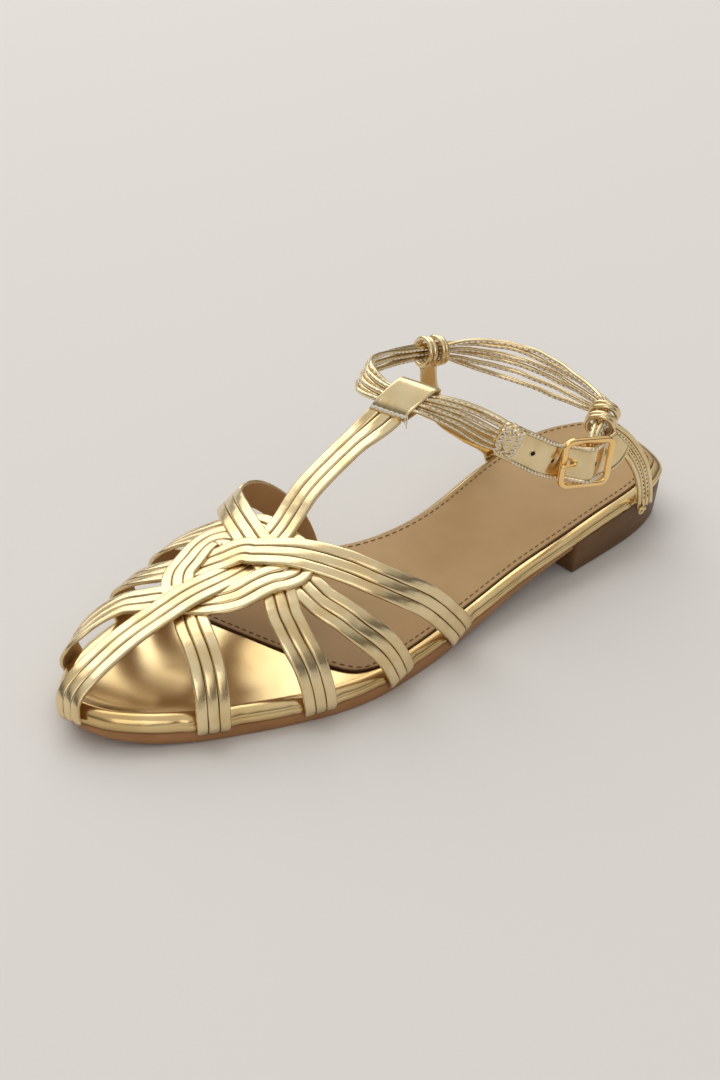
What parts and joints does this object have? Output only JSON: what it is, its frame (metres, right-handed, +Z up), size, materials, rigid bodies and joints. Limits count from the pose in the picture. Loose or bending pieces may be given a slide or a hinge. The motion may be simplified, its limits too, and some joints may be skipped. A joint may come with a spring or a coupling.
{
  "type": "huarache sandal",
  "caption": "Woven huarache sandal in metallic leather: rolled straps crossing over the forefoot, an instep strap, and a corded ankle strap with a buckle, on a low stacked heel.",
  "frame": {"origin": "middle of the bounding box's underside, on the floor", "axes": "+Z up, -Y towards the toe, +Y towards the heel, +X towards the outer (little toe) side"},
  "size_m": [0.0874, 0.2472, 0.0813],
  "materials": {
    "outsole": "smooth tan-brown sole sheet, slightly satin edge",
    "heel": "dark brown stacked heel, satin",
    "footbed": "gold foil leather wrapped over the footbed board, creased at the edge",
    "insole": "smooth tan leather with a dark edge line and a row of stitches",
    "straps": "pale champagne-gold foil leather, rolled into ribs, tan underneath",
    "buckle": "polished warm gold plating"
  },
  "bodies": {
    "root": {"outsole": "outsole", "heel_block": "heel", "footbed_board": "footbed", "insole": "insole", "upper": "straps", "ankle_strap": "straps", "heel_strap_lateral": "straps", "heel_strap_medial": "straps", "buckle_frame": "buckle", "buckle_prong": "buckle"}
  },
  "joints": []
}
